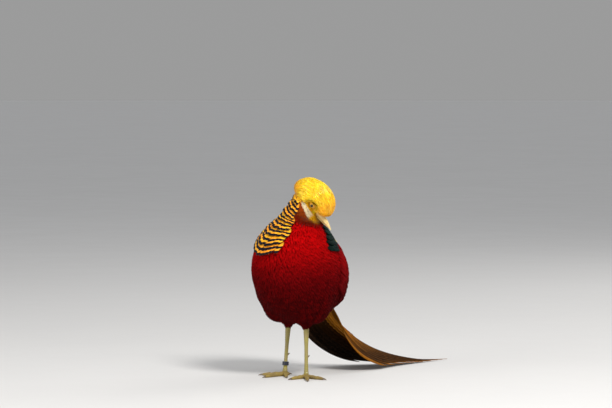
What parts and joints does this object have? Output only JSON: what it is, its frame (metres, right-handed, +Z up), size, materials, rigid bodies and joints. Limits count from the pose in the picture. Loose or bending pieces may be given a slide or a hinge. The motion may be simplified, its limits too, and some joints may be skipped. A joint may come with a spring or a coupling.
{
  "type": "still golden pheasant cock",
  "caption": "Life-size still model of a golden pheasant cock, standing with its head turned over the left shoulder and its long tail laid out on the floor.",
  "frame": {"origin": "on the floor under the sole of the bird's left foot", "axes": "+Z up, -Y the way the breast faces, +X the bird's left side, the tail runs towards +Y"},
  "size_m": [0.1561, 0.4327, 0.3222],
  "materials": {
    "bill_horn": "satin",
    "cape_orange": "matte",
    "crest_gold": "matte",
    "eye_glass": "gloss",
    "leg_horn": "satin",
    "face_tan": "matte",
    "ring_blue": "gloss",
    "mantle_green": "matte",
    "neck_red": "matte",
    "rump_gold": "matte",
    "tail_brown": "matte",
    "covert_red": "matte",
    "thigh_red": "matte",
    "breast_red": "matte",
    "wing_chestnut": "matte"
  },
  "bodies": {
    "root": {"beak_lower": "bill_horn", "beak_upper": "bill_horn", "cape": "cape_orange", "crest": "crest_gold", "eye_left": "eye_glass", "eye_right": "eye_glass", "foot_left": "leg_horn", "foot_right": "leg_horn", "head": "face_tan", "leg_ring": "ring_blue", "mantle": "mantle_green", "neck": "neck_red", "rump": "rump_gold", "shank_left": "leg_horn", "shank_right": "leg_horn", "tail": "tail_brown", "tail_coverts": "covert_red", "thigh_left": "thigh_red", "thigh_right": "thigh_red", "torso": "breast_red", "wing_left": "wing_chestnut", "wing_right": "wing_chestnut"}
  },
  "joints": []
}
